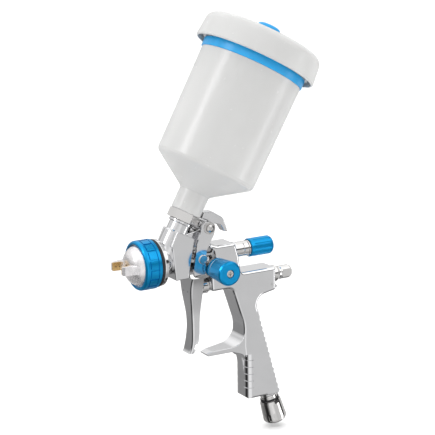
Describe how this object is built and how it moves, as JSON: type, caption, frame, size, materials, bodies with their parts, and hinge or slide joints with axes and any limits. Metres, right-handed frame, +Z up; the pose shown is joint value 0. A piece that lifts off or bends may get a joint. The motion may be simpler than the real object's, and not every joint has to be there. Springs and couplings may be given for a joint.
{
  "type": "hvlp spray gun",
  "caption": "Gravity-feed HVLP spray gun with a tilted translucent cup, pulled trigger, turning control knobs, air cap ring and a bottom air inlet.",
  "frame": {"origin": "tip of the fluid nozzle, on the spray axis", "axes": "-X is the direction of spray, +Z up with the spray axis level, -Y is the side with the fan control knob"},
  "size_m": [0.179, 0.1016, 0.3488],
  "materials": {
    "chrome_casting": "polished chrome plate on a forged aluminium body",
    "polished_steel": "turned stainless steel",
    "chrome_fittings": "plated turned fittings",
    "satin_cap": "satin nickel plate with turning marks",
    "brass": "machined brass",
    "blue_anodised": "bright blue anodised aluminium",
    "blue_plastic": "moulded blue plastic",
    "milky_plastic": "translucent milky nylon",
    "black_rubber": "matt",
    "white_seal": "PTFE",
    "strainer_mesh": "moulded strainer",
    "spring_steel": "drawn spring wire"
  },
  "bodies": {
    "gun": {"gun_body": "chrome_casting", "fluid_nozzle": "brass", "head_seal": "black_rubber", "air_distribution_ring": "brass", "trigger_pivot_pin": "polished_steel", "pivot_washers": "polished_steel", "pivot_nut": "polished_steel", "needle_packing": "white_seal", "packing_nut": "brass", "needle_spring": "spring_steel", "needle_guide_sleeve": "chrome_fittings", "knob_washer": "chrome_fittings", "air_valve_nut": "chrome_fittings", "air_valve_seal": "black_rubber", "air_valve_spring": "spring_steel", "air_valve_cap": "chrome_fittings", "fan_valve_bush": "chrome_fittings", "air_inlet_nipple": "chrome_fittings", "inlet_o_ring": "black_rubber", "cup_adapter": "chrome_fittings", "paint_strainer": "strainer_mesh"},
    "trigger_lever": {"trigger": "chrome_casting", "trigger_bar": "polished_steel", "trigger_bar_caps": "polished_steel"},
    "needle": {"fluid_needle": "polished_steel"},
    "valve_stem": {"air_valve_stem": "polished_steel"},
    "paint_knob": {"needle_knob": "blue_anodised"},
    "pattern_knob": {"fan_knob": "blue_anodised", "fan_valve_stem": "polished_steel", "fan_knob_screw": "polished_steel"},
    "cap": {"air_cap": "satin_cap"},
    "cap_ring": {"air_cap_ring": "blue_anodised"},
    "inlet_nut": {"air_inlet_nut": "chrome_fittings"},
    "cup": {"paint_cup": "milky_plastic", "cup_band": "blue_plastic"},
    "lid": {"cup_lid": "milky_plastic", "lid_gasket": "white_seal"},
    "plug": {"vent_plug": "blue_plastic"}
  },
  "joints": [
    {"name": "trigger_pull", "type": "hinge", "parent": "gun", "child": "trigger_lever", "pos_m": [0.0678, 0, 0.0255], "axis": [0, -1, 0], "range_deg": [0, 8], "stiffness_Nm_per_rad": 2, "springref_deg": -8.59},
    {"name": "needle_travel", "type": "slide", "parent": "gun", "child": "needle", "axis": [1, 0, 0], "range_m": [0, 0.0036], "deforming": ["needle_spring"]},
    {"name": "air_valve_travel", "type": "slide", "parent": "gun", "child": "valve_stem", "axis": [1, 0, 0], "range_m": [0, 0.0073], "deforming": ["air_valve_spring"]},
    {"name": "paint_knob_turn", "type": "hinge", "parent": "gun", "child": "paint_knob", "pos_m": [0.12, 0, 0], "axis": [1, 0, 0], "range_deg": [0, 720]},
    {"name": "pattern_knob_turn", "type": "hinge", "parent": "gun", "child": "pattern_knob", "pos_m": [0.073, -0.03, -0.0078], "axis": [0, -1, 0], "range_deg": [0, 540]},
    {"name": "air_cap_turn", "type": "hinge", "parent": "gun", "child": "cap", "pos_m": [0.01, 0, 0], "axis": [1, 0, 0], "range_deg": [-90, 90]},
    {"name": "cap_ring_turn", "type": "hinge", "parent": "gun", "child": "cap_ring", "pos_m": [0.015, 0, 0], "axis": [1, 0, 0], "range_deg": [0, 720]},
    {"name": "inlet_nut_swivel", "type": "hinge", "parent": "gun", "child": "inlet_nut", "pos_m": [0.13466, 0, -0.14138], "axis": [0.284, 0, -0.9588], "continuous": true},
    {"name": "cup_lift", "type": "slide", "parent": "gun", "child": "cup", "axis": [0.4939, 0, 0.8695], "range_m": [0, 0.03]},
    {"name": "lid_lift", "type": "slide", "parent": "cup", "child": "lid", "axis": [0.4939, 0, 0.8695], "range_m": [0, 0.03]},
    {"name": "vent_plug_pull", "type": "slide", "parent": "lid", "child": "plug", "axis": [0.4939, 0, 0.8695], "range_m": [0, 0.012]}
  ],
  "couplings": [
    {"joint": "needle_travel", "follows": "trigger_pull", "m_per_rad": 0.0252},
    {"joint": "air_valve_travel", "follows": "trigger_pull", "m_per_rad": 0.0513}
  ]
}
